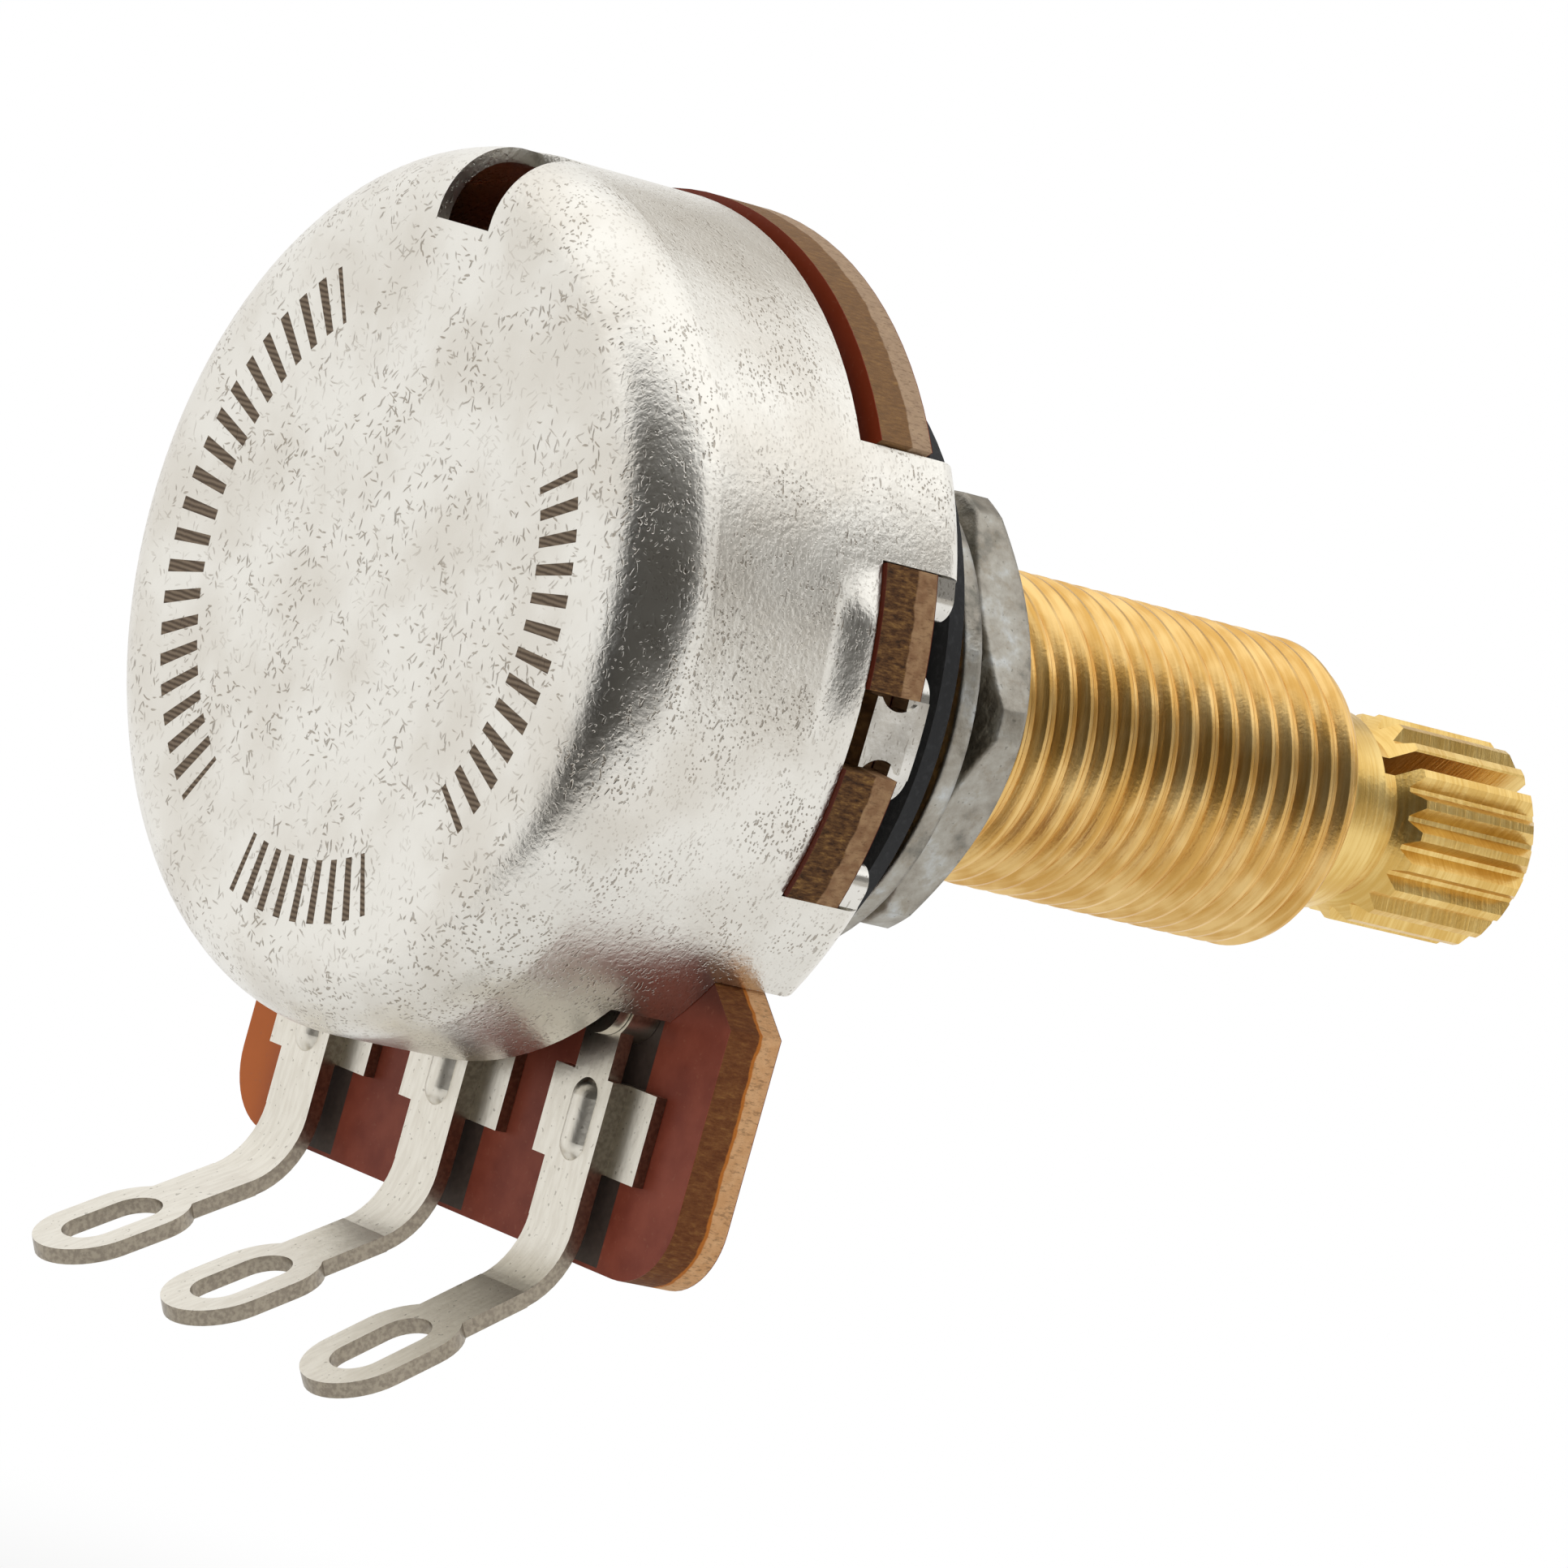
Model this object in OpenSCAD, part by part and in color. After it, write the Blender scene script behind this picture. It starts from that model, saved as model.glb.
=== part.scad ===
// Rotary potentiometer, 24 mm body, long threaded bushing and split splined shaft.
// Units are millimetres. The shaft axis is +X and points to the shaft tip, +Z is up and
// the board's terminal tongue hangs down. The origin is on the axis, on the front face of
// the sealing washer, where the panel sits. Places along the shaft are given from the front
// face of the mounting plate, just behind it.

/* [Cover] */
// outside radius of the pressed steel can
cover_r = 12.0; // [11.5:0.1:13]
// distance from the mounting face back to the can's rear face
cover_back = 12.3; // [12:0.1:14]
// outside radius of the can's rolled rim
cover_corner_r = 2.2; // [1.6:0.1:3]
// thickness of the can's sheet
cover_sheet = 0.4; // [0.3:0.05:0.5]
// width of the slot lanced through the rim at the top
stop_slot_w = 2.4; // [2:0.1:3]
// depth of the slot's lower edge below the top of the can
stop_slot_depth = 2.4; // [2.2:0.1:2.6]
// length of the slot along the can, from the rear face
stop_slot_len = 2.6; // [2.2:0.1:3]
// how far the lanced stop tab reaches into the can
stop_tab_len = 2.9; // [2.6:0.1:3.2]
// width of each fold-over tab, in degrees round the axis
tab_span = 15.3; // [12:0.1:16]
// angle of the tabs from the level line, on both sides of the can
tab_tilt = 30; // [28:0.5:32]
// turn of the camera-side tabs about the axis
tab_skew = 2; // [0:0.5:2]
// how far the folded tabs reach in from the can's outside
tab_fold = 1.9; // [1.4:0.1:2]

/* [Terminal board] */
// how far the round part of the phenolic board stands out past the can
wafer_proud = 0.15; // [0.05:0.05:0.6]
// board thickness
wafer_t = 1.75; // [1.4:0.05:2]
// how far each side of the terminal tongue lies inside the can's outside
tongue_inset = 1.65; // [1.2:0.05:2.2]
// how far the tongue reaches below the can
tongue_reach = 3.97; // [3.8:0.01:5]
// corner radius of the tongue
tongue_corner_r = 2.0; // [1:0.1:3]

/* [Terminals] */
// spacing of the three solder terminals
terminal_pitch = 6.35; // [6:0.05:6.6]
// thickness of the terminal strip
strip_t = 0.45; // [0.35:0.05:0.5]
// width of the terminal strip
strip_w = 2.0; // [1.6:0.1:2.2]
// radius of the strip's bend, at the middle of its thickness
strip_bend_r = 2.5; // [2:0.1:3]
// depth below the can at which the bend starts
bend_drop = 3.0; // [2.6:0.1:3.6]
// droop of the solder eyelets below the level line, left to right
eyelet_droop = [28, 29, 33]; // [20:1:45]
// distance from the end of the bend to the middle of the eyelet
eyelet_reach = 3.9; // [3.6:0.1:5]
// length of the eyelet over its ends
eyelet_len = 4.6; // [4.2:0.1:5]
// width of the eyelet
eyelet_w = 3.2; // [2.8:0.1:3.4]
// length of the eyelet's hole
eyelet_hole_len = 3.0; // [2.6:0.1:3.2]
// width of the eyelet's hole
eyelet_hole_w = 1.6; // [1.2:0.1:1.8]

/* [Mounting plate] */
// sheet thickness of the mounting plate
plate_t = 0.7; // [0.5:0.05:0.8]
// depth of the dished middle, from the mounting face to the board
plate_dish = 2.83; // [2.6:0.01:3.2]
// how far the dished middle lies inside the can's outside
dish_inset = 3.2; // [3:0.1:3.4]
// gap between the can's wall and the ears that its tabs fold over
ear_gap = 0.24; // [0.24:0.02:0.4]
// half the width of an ear, in degrees round the axis
ear_half = 12.5; // [9:0.5:13]
// how far the ears lean from their tabs towards the level line, in degrees
ear_lean = 4; // [0:0.5:4]

/* [Bushing and nut] */
// outside radius of the bushing's fine thread
bushing_r = 4.43; // [4.2:0.01:4.5]
// distance between the thread's crests
thread_pitch = 0.75; // [0.7:0.05:1]
// depth of the thread
thread_depth = 0.35; // [0.2:0.05:0.4]
// length of the bushing in front of the mounting face
bushing_len = 19.75; // [16:0.05:20]
// across flats of the hexagon nut
nut_flats = 12; // [11.4:0.1:12.6]
// thickness of the nut
nut_t = 1.8; // [1.6:0.1:2.4]
// gap between the flat washer and the nut
nut_gap = 0.93; // [0.2:0.01:2]
// turn of the nut about the axis
nut_turn = 56; // [50:1:60]
// radius of the flat washer
washer_r = 7.15; // [6.6:0.05:7.6]
// thickness of the flat washer
washer_t = 0.6; // [0.4:0.05:0.8]
// radial play of the flat washer, by which it hangs down on the thread
washer_play = 0.35; // [0.1:0.05:0.5]
// panel room between the sealing washer and the flat washer
panel_room = 2.02; // [1:0.01:2.4]
// radius of the black sealing washer
seal_r = 9.3; // [8.8:0.05:9.6]
// thickness of the black sealing washer
seal_t = 0.5; // [0.4:0.05:0.6]

/* [Shaft] */
// radius over the splines
spline_r = 3.0; // [2.96:0.01:3.0]
// number of spline teeth
spline_count = 20; // [16:2:24]
// depth of the spline teeth
spline_depth = 0.34; // [0.25:0.01:0.4]
// distance from the mounting face to the shaft tip
shaft_tip = 27.9; // [27:0.1:30]
// length of the splined head
spline_len = 5.1; // [4.5:0.1:5.5]
// radial play of the plain journal in the bushing
journal_play = 0.05; // [0.03:0.01:0.08]
// width of the split in the head
split_w = 0.6; // [0.5:0.05:1.2]
// how far the split runs past the splined head
split_past = 0.8; // [0.4:0.1:0.8]
// angle of the split about the axis
split_angle = 134; // [125:1:150]

/* [Inside] */
// gap between the rotor disc and the can's wall
rotor_gap = 2.2; // [2:0.1:2.6]
// thickness of the rotor disc
rotor_t = 1.0; // [0.8:0.1:1.2]
// turning range of the shaft in degrees
travel = 300; // [270:5:300]
// how far the middle of the resistive track lies inside the can's wall
track_inset = 2.5; // [2.4:0.05:2.6]
// width of the resistive track
track_w = 1.4; // [1:0.1:1.6]
// width of the collector ring
collector_w = 2.0; // [1.8:0.1:2.2]

/* [Hidden] */
// gap left between still pieces that touch
seat = 0.02;
// gap between the contact tips and what they slide on
slide = 0.05;
plate_face = -seal_t - seat;
wafer_front = -plate_dish - seat;
wafer_back = wafer_front - wafer_t;
wafer_r = cover_r + wafer_proud;
tongue_half_w = cover_r - tongue_inset;
tongue_low = cover_r + tongue_reach;
cover_rear = -cover_back;
rim_x = wafer_back - seat;
cover_in = cover_r - cover_sheet;
stop_slot_low = cover_r - stop_slot_depth;
flange_front = -plate_dish + plate_t;
tab_front = flange_front + seat + cover_sheet;
tab_bend_r = 0.7;
tab_inner_r = cover_r - tab_fold;
tab_angles = [180 - tab_tilt + tab_skew, 180 + tab_tilt + tab_skew, tab_tilt - tab_skew, -tab_tilt - tab_skew];
ear_lean_way = [1, -1, -1, 1];
notch_play = 0.4;
past = 5;
mouth_half = asin((terminal_pitch + 1.5) / cover_r);
mouth_from = 270 - mouth_half;
mouth_to = 270 + mouth_half;
mouth_depth = 2.0;
top_gap = 0.6;
dish_r = cover_r - dish_inset;
dish_lap = 0.5;
ear_r = cover_in - ear_gap;
flange_r = cover_in - 2.0;
bottom_gap = 96;
crimp_angles = [181, -1];
crimp_notch = 10.2;
crimp_r = cover_r - 0.35;
crimp_t = 0.6;
crimp_half = 9.7;
strip_mid = wafer_back - 0.7;
strip_front = strip_mid + strip_t / 2;
bend_start = cover_r + bend_drop;
body_top = -cover_r + 1.0;
body_low = -cover_r - 1.45;
body_side = 1.6;
rib_r = 0.6;
rib_sink = 0.32;
foot_reach = 2.25;
foot_t = 0.35;
foot_back = wafer_back - seat - foot_t;
rivet_r = 0.6;
rivet_head_r = 1.0;
rivet_head_t = 0.35;
rivet_drop = [-cover_r + 3.1, -cover_r + 1.8, -cover_r + 3.1];
rivet_side = [1, 0, -1];
track_r = cover_in - track_inset;
track_t = 0.08;
track_span = travel - 10;
track_from = 90 - track_span / 2;
bushing_flange_r = bushing_r + 1.17;
bushing_flange_t = 0.5;
bore_r = spline_r + 0.02;
flange_rear = -plate_t - seat - bushing_flange_t;
washer_x = seal_t + seat + panel_room;
nut_x = washer_x + washer_t + nut_gap;
journal_r = bore_r - journal_play;
neck_r = spline_r - 0.6;
relief_r = journal_r - 0.08;
thrust_t = 0.34;
thrust_gap = 0.03;
thrust_front = flange_rear - thrust_gap;
thrust_rear = thrust_front - thrust_t;
collar_front = thrust_rear - thrust_gap;
collar_t = 0.8;
collar_rear = collar_front - collar_t;
collar_r = bushing_flange_r - 0.9;
spigot_r = spline_r - 0.9;
spigot_flat = spigot_r - 0.4;
collector_in = spigot_r + 0.9;
collector_r = collector_in + collector_w;
collector_t = 0.3;
rotor_r = cover_in - rotor_gap;
rotor_rear = cover_rear + stop_tab_len + 1.5;
rotor_front = rotor_rear + rotor_t;
hub_r = spigot_r + 1.1;
hub_front = wafer_back - 0.6;
stop_low = stop_slot_low - cover_sheet;
stop_half_w = stop_slot_w / 2 - 0.1;
lug_half = 180 - travel / 2 - atan(stop_half_w / stop_low) - 0.5;
lug_r = cover_in - 0.6;
lug_in = stop_low - 1.0;
lug_rear = cover_rear + stop_tab_len / 2;
wiper_t = 0.25;
wiper_r = hub_r + 3.4;
wiper_front = rotor_front + seat + wiper_t;
split_depth = spline_len + split_past;
neck_x = shaft_tip - spline_len - 0.9;
relief_x = bushing_len - 0.75;
round_fn = 96;
small_fn = 32;

// stands a piece drawn round +Z along the shaft axis: drawn X is the side, drawn Y is up,
// drawn Z is the distance in front of the mounting plate's face
module along_shaft() {
    translate([plate_face, 0, 0]) rotate([90, 0, 90]) children();
}

// part of a ring between two radii, two places on the axis and two angles
module ring_arc(r_in, r_out, x_from, x_to, from, to) {
    rotate([0, 0, from])
        rotate_extrude(angle = to - from, $fn = round_fn)
            translate([r_in, x_from]) square([r_out - r_in, x_to - x_from]);
}

// whole ring between two radii and two places on the axis
module ring(r_in, r_out, x_from, x_to) {
    translate([0, 0, x_from])
        difference() {
            cylinder(r = r_out, h = x_to - x_from, $fn = round_fn);
            translate([0, 0, -1]) cylinder(r = r_in, h = x_to - x_from + 2, $fn = round_fn);
        }
}

// half section of a pot with a rounded outer corner at its closed end
module pot_half(r, depth, corner) {
    translate([0, corner]) square([r, depth - corner]);
    square([r - corner, depth]);
    translate([r - corner, corner]) circle(r = corner, $fn = 64);
}

// half section of a sheet pot
module sheet_pot(r, depth, corner, sheet) {
    difference() {
        pot_half(r, depth, corner);
        translate([-seat, sheet]) pot_half(r - sheet + seat, depth, max(corner - sheet, 0.1));
    }
}

// half section of the can as if one tab ran all round: wall, bend and inward fold
module can_section() {
    corner = tab_front - tab_bend_r;
    translate([0, cover_rear]) sheet_pot(cover_r, corner - cover_rear, cover_corner_r, cover_sheet);
    translate([tab_inner_r, tab_front - cover_sheet])
        square([cover_r - tab_bend_r - tab_inner_r, cover_sheet]);
    translate([cover_r - tab_bend_r, corner])
        intersection() {
            difference() {
                circle(r = tab_bend_r, $fn = 48);
                circle(r = tab_bend_r - cover_sheet, $fn = 48);
            }
            square(tab_bend_r + 1);
        }
}

// room cut between two tabs, from a place on the axis forward
module tab_gap(x_from, from, to) {
    ring_arc(tab_inner_r - 1, cover_r + 1, x_from, tab_front + 1, from, to);
}

// pressed can with its tabs, the lanced stop and the mouth over the tongue
module rear_cover() {
    half = tab_span / 2;
    color("silver") along_shaft() {
        difference() {
            rotate_extrude($fn = round_fn) can_section();
            translate([-stop_slot_w / 2, stop_slot_low, cover_rear - 1])
                cube([stop_slot_w, cover_r, stop_slot_len + 1]);
            tab_gap(rim_x - top_gap, tab_angles[2] + half, tab_angles[0] - half);
            tab_gap(rim_x, tab_angles[0] + half, tab_angles[1] - half);
            tab_gap(rim_x, tab_angles[1] + half, tab_angles[3] + 360 - half);
            tab_gap(rim_x, tab_angles[3] + 360 + half, tab_angles[2] + 360 - half);
            tab_gap(rim_x - mouth_depth, mouth_from, mouth_to);
        }
        translate([-stop_half_w, stop_low, cover_rear])
            cube([2 * stop_half_w, cover_sheet, stop_tab_len]);
    }
}

// outline of the board: round body and tongue with rounded lower corners
module wafer_outline() {
    circle(r = wafer_r, $fn = round_fn);
    translate([-tongue_half_w, -tongue_low + tongue_corner_r])
        square([2 * tongue_half_w, tongue_low - tongue_corner_r - wafer_r / 2]);
    translate([-tongue_half_w + tongue_corner_r, -tongue_low])
        square([2 * (tongue_half_w - tongue_corner_r), tongue_low - wafer_r / 2]);
    for (side = [-1, 1])
        translate([side * (tongue_half_w - tongue_corner_r), -tongue_low + tongue_corner_r])
            circle(r = tongue_corner_r, $fn = 48);
}

// punched phenolic board that carries the track and the terminals
module wafer() {
    color("sienna") along_shaft()
        difference() {
            translate([0, 0, wafer_back]) linear_extrude(wafer_t) wafer_outline();
            for (a = tab_angles)
                ring_arc(cover_in - 0.1, wafer_r + past, wafer_back - 1, wafer_front + 1,
                    a - tab_span / 2 - notch_play, a + tab_span / 2 + notch_play);
            for (a = crimp_angles)
                ring_arc(crimp_r - crimp_t - 0.1, wafer_r + past, wafer_back - 1, wafer_front + 1,
                    a - crimp_notch / 2, a + crimp_notch / 2);
            translate([0, 0, wafer_back - 1]) cylinder(r = spigot_r + 0.3, h = wafer_t + 2, $fn = round_fn);
            for (k = [0:2])
                translate([terminal_pitch * rivet_side[k], rivet_drop[k], wafer_back - 1])
                    cylinder(r = rivet_r + seat, h = wafer_t + 2, $fn = small_fn);
        }
}

// carbon track printed on the board's rear face
module resistive_track() {
    color("black") along_shaft()
        ring_arc(track_r - track_w / 2, track_r + track_w / 2, wafer_back - seat - track_t, wafer_back - seat,
            track_from, track_from + track_span);
}

// flat metal ring round the shaft with a tail to the middle terminal
module collector_ring() {
    rear = wafer_back - seat - collector_t;
    tail_w = 1.8;
    color("gold") along_shaft()
        difference() {
            union() {
                ring(collector_in, collector_r, rear, rear + collector_t);
                translate([-tail_w / 2, rivet_drop[1], rear])
                    cube([tail_w, -rivet_drop[1] - collector_r + 0.5, collector_t]);
                translate([0, rivet_drop[1], rear]) cylinder(r = rivet_head_r, h = collector_t, $fn = small_fn);
            }
            translate([0, rivet_drop[1], rear - 1]) cylinder(r = rivet_r + seat, h = 3, $fn = small_fn);
        }
}

// rounded slot shape standing on the drawing plane, long way along X
module slot_prism(len, wide, high) {
    for (side = [-1, 1])
        translate([side * (len - wide) / 2, 0, 0]) cylinder(d = wide, h = high, $fn = 48);
    translate([-(len - wide) / 2, -wide / 2, 0]) cube([len - wide, wide, high]);
}

// solder terminal: riveted neck, ribbed body with a bent foot, strip, bend and eyelet
module terminal(rivet_y, droop, base) {
    turn = 90 - droop;
    neck_w = 1.5;
    lap = 0.06;
    thinned = 0.02;
    color("silver") along_shaft()
        difference() {
            union() {
                // neck up to the rivet
                translate([-neck_w / 2, body_top, strip_front - strip_t])
                    cube([neck_w, rivet_y - body_top, strip_t]);
                translate([0, rivet_y, strip_front - strip_t])
                    cylinder(r = rivet_head_r + 0.1, h = base - strip_front + strip_t, $fn = small_fn);
                // shouldered body
                translate([-strip_w / 2, body_low, strip_front - strip_t])
                    cube([strip_w / 2 + body_side, body_top - body_low, strip_t]);
                // wall and foot bent down to the board
                translate([-strip_w / 2, body_low, strip_front - strip_t])
                    cube([foot_t, body_top - body_low, foot_back + foot_t - strip_front + strip_t]);
                translate([-foot_reach, body_low, foot_back])
                    cube([foot_reach - strip_w / 2 + foot_t, body_top - body_low, foot_t]);
                translate([0, body_top - rib_r, strip_front - strip_t + rib_sink])
                    rib(body_top - body_low - 2 * rib_r);
                // strip down to the bend
                translate([-strip_w / 2, -bend_start - lap, strip_front - strip_t])
                    cube([strip_w, bend_start + lap + body_low + 0.5, strip_t]);
                // bend and eyelet
                translate([0, -bend_start, strip_mid - strip_bend_r])
                    rotate([0, -90, 0]) {
                        translate([0, 0, -strip_w / 2])
                            rotate([0, 0, -turn])
                                rotate_extrude(angle = turn, $fn = 144)
                                    translate([strip_bend_r - strip_t / 2 + thinned / 2, thinned / 2])
                                        square([strip_t - thinned, strip_w - thinned]);
                        rotate([0, 0, -turn])
                            translate([strip_bend_r, 0, 0]) {
                                translate([-strip_t / 2, -eyelet_reach + eyelet_hole_len / 2, -strip_w / 2])
                                    cube([strip_t, eyelet_reach - eyelet_hole_len / 2 + lap, strip_w]);
                                translate([-strip_t / 2, -eyelet_reach, 0])
                                    rotate([90, 0, 90])
                                        eyelet();
                            }
                    }
            }
            translate([0, rivet_y, wafer_back - 2])
                cylinder(r = rivet_r + seat, h = 3, $fn = small_fn);
        }
}

// embossed rib with round ends, long way down, cut off inside the strip
module rib(len) {
    difference() {
        union() {
            rotate([90, 0, 0]) cylinder(r = rib_r, h = len, $fn = small_fn);
            for (end = [0, -len])
                translate([0, end, 0]) rotate([90, 0, 0]) sphere(r = rib_r, $fn = small_fn);
        }
        translate([-rib_r - 1, -len - rib_r - 1, -0.05]) cube([2 * rib_r + 2, len + 2 * rib_r + 2, rib_r + 1]);
    }
}

// oval solder eyelet, drawn flat with its long way along X
module eyelet() {
    difference() {
        slot_prism(eyelet_len, eyelet_w, strip_t);
        translate([0, 0, -1]) slot_prism(eyelet_hole_len, eyelet_hole_w, strip_t + 2);
    }
}

module terminal_left() {
    translate([0, terminal_pitch, 0]) terminal(rivet_drop[0], eyelet_droop[0], wafer_back - seat);
}

module terminal_middle() {
    terminal(rivet_drop[1], eyelet_droop[1], wafer_back - collector_t - 2 * seat);
}

module terminal_right() {
    translate([0, -terminal_pitch, 0]) terminal(rivet_drop[2], eyelet_droop[2], wafer_back - seat);
}

// three rivets that hold the terminals on the board
module terminal_rivets() {
    rear = strip_front - strip_t - seat;
    color("silver") along_shaft()
        for (k = [0:2])
            translate([terminal_pitch * rivet_side[k], rivet_drop[k], 0]) {
                translate([0, 0, rear - rivet_head_t])
                    cylinder(r = rivet_head_r, h = rivet_head_t, $fn = small_fn);
                translate([0, 0, rear - rivet_head_t / 2])
                    cylinder(r = rivet_r, h = wafer_front + seat - rear + rivet_head_t / 2, $fn = small_fn);
                translate([0, 0, wafer_front + seat])
                    cylinder(r = rivet_head_r, h = rivet_head_t, $fn = small_fn);
            }
}

// triangle that spans an angle to each side of the drawn X axis
module wedge(half, r) {
    polygon([[0, 0], [r, -r * tan(half)], [r, r * tan(half)]]);
}

// outline of one ear of the mounting plate, with rounded shoulders
module ear_outline(angle, half, r) {
    round_r = 0.9;
    inset = 0.03;
    past_turn = 0.4;
    round_turn = asin((round_r + inset) / (r - round_r));
    rotate(angle) {
        intersection() {
            circle(r = r, $fn = round_fn);
            wedge(half - round_turn + past_turn, r + 1);
        }
        intersection() {
            circle(r = r - round_r, $fn = round_fn);
            wedge(half, r + 1);
        }
        for (side = [-1, 1])
            rotate(side * (half - round_turn))
                translate([r - round_r - inset, 0]) circle(r = round_r, $fn = small_fn);
    }
}

// outline of the mounting plate: flange, gap over the terminals and ears
module plate_outline() {
    circle(r = dish_r + 0.1, $fn = round_fn);
    difference() {
        circle(r = flange_r, $fn = round_fn);
        rotate(270) wedge(bottom_gap / 2, flange_r + 1);
    }
    for (k = [0:3])
        ear_outline(tab_angles[k] + ear_lean_way[k] * ear_lean, ear_half, ear_r);
    for (a = crimp_angles)
        ear_outline(a, crimp_half, crimp_r);
}

// waisted tab of the mounting plate that bends back into the board's notch
module crimp_tab(angle) {
    deep = 1.1;
    wide = 1.9;
    waist_r = 0.75;
    rotate([0, 0, angle])
        translate([crimp_r - crimp_t + 0.05, 0, -plate_dish + 0.3])
            difference() {
                translate([0, -wide / 2, -deep - 0.3]) cube([crimp_t, wide, deep + 0.3]);
                for (side = [-1, 1])
                    translate([-1, side * (wide / 2 + 0.45), -deep / 2 - 0.1])
                        rotate([0, 90, 0]) cylinder(r = waist_r, h = crimp_t + 2, $fn = 48);
            }
}

// half section of the plate: dished middle and a flange wider than its ears
module plate_section() {
    sheet_pot(dish_r, plate_dish, 1.0, plate_t);
    translate([dish_r - dish_lap, plate_dish - plate_t]) square([crimp_r - dish_r + dish_lap + 1, plate_t]);
}

// dished steel plate that carries the bushing and closes the can
module mounting_plate() {
    color("gainsboro") along_shaft()
        difference() {
            union() {
                difference() {
                    mirror([0, 0, 1]) rotate_extrude($fn = round_fn) plate_section();
                    translate([0, 0, -plate_dish - 1])
                        linear_extrude(plate_t + 2)
                            difference() {
                                circle(r = crimp_r + past, $fn = round_fn);
                                plate_outline();
                            }
                }
                for (a = crimp_angles)
                    crimp_tab(a);
            }
            translate([0, 0, -plate_t - 1]) cylinder(r = bushing_r + seat, h = plate_t + 2, $fn = round_fn);
        }
}

// half section of the bushing: flange, stem with the thread's grooves, and lead at the tip
module bushing_section() {
    lead = 0.4;
    crest = 0.13;
    groove_half = (thread_pitch - crest) / 2;
    grooves = floor((bushing_len - 2 * lead) / thread_pitch);
    difference() {
        union() {
            translate([bore_r, flange_rear]) square([bushing_flange_r - bore_r, bushing_flange_t]);
            translate([bore_r, flange_rear]) square([bushing_r - bore_r, bushing_len - lead - flange_rear]);
            translate([bore_r, bushing_len - 2 * lead])
                polygon([
                    [0, 0],
                    [bushing_r - bore_r, lead],
                    [bushing_r - bore_r - lead, 2 * lead],
                    [0, 2 * lead]
                ]);
        }
        for (k = [1:grooves])
            translate([bushing_r, bushing_len - lead - (k - 0.5) * thread_pitch])
                polygon([[0.1, -groove_half], [0.1, groove_half], [0, groove_half], [-thread_depth, 0],
                    [0, -groove_half]]);
    }
}

// brass bushing with a staked rear flange and its thread as rings
module threaded_bushing() {
    color("goldenrod") along_shaft() rotate_extrude($fn = round_fn) bushing_section();
}

// plain washer between the shaft's collar and the bushing
module thrust_washer() {
    color("silver") along_shaft() ring(journal_r + 0.12, collar_r, thrust_rear, thrust_front);
}

// section of the spline head: teeth with pointed crests
module spline_section() {
    root_r = spline_r - spline_depth;
    step = 360 / spline_count;
    circle(r = root_r, $fn = round_fn);
    for (k = [0:spline_count - 1])
        rotate(split_angle + step / 2 + k * step)
            polygon([
                [root_r * cos(step / 2) - 0.1, -root_r * sin(step / 2)],
                [spline_r, -0.12],
                [spline_r, 0.12],
                [root_r * cos(step / 2) - 0.1, root_r * sin(step / 2)]
            ]);
}

// envelope that chamfers the tip and runs the splines out at the rear
module head_envelope() {
    head_x = shaft_tip - spline_len;
    tip_chamfer = 0.3;
    runout = 0.6;
    translate([0, 0, head_x])
        cylinder(r1 = spline_r - runout, r2 = spline_r, h = runout, $fn = round_fn);
    translate([0, 0, head_x + runout])
        cylinder(r = spline_r, h = spline_len - runout - tip_chamfer, $fn = round_fn);
    translate([0, 0, shaft_tip - tip_chamfer])
        cylinder(r1 = spline_r, r2 = spline_r - tip_chamfer, h = tip_chamfer, $fn = round_fn);
}

// turned brass shaft: split splined head, neck, journal, collar and flatted spigot
module splined_shaft() {
    head_r = spigot_r + 0.4;
    peen = 0.35;
    color("gold") along_shaft()
        difference() {
            union() {
                intersection() {
                    translate([0, 0, shaft_tip - spline_len]) linear_extrude(spline_len) spline_section();
                    head_envelope();
                }
                translate([0, 0, neck_x]) cylinder(r = neck_r, h = 1.5, $fn = round_fn);
                translate([0, 0, relief_x]) cylinder(r = relief_r, h = neck_x - relief_x, $fn = round_fn);
                translate([0, 0, collar_rear]) cylinder(r = journal_r, h = relief_x - collar_rear, $fn = round_fn);
                translate([0, 0, collar_rear]) cylinder(r = collar_r, h = collar_t, $fn = round_fn);
                translate([0, 0, rotor_front + 0.3])
                    cylinder(r = spigot_r, h = collar_rear - rotor_front - 0.2, $fn = round_fn);
                intersection() {
                    translate([0, 0, rotor_rear - seat - peen / 2])
                        cylinder(r = spigot_r, h = rotor_t + 1, $fn = round_fn);
                    translate([-spigot_r, -spigot_flat, rotor_rear - 1])
                        cube([2 * spigot_r, 2 * spigot_flat, rotor_t + 3]);
                }
                translate([0, 0, rotor_rear - seat - peen]) cylinder(r = head_r, h = peen, $fn = round_fn);
            }
            rotate([0, 0, split_angle])
                translate([-spline_r - 1, -split_w / 2, shaft_tip - split_depth])
                    cube([2 * spline_r + 2, split_w, split_depth + 1]);
        }
}

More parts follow.
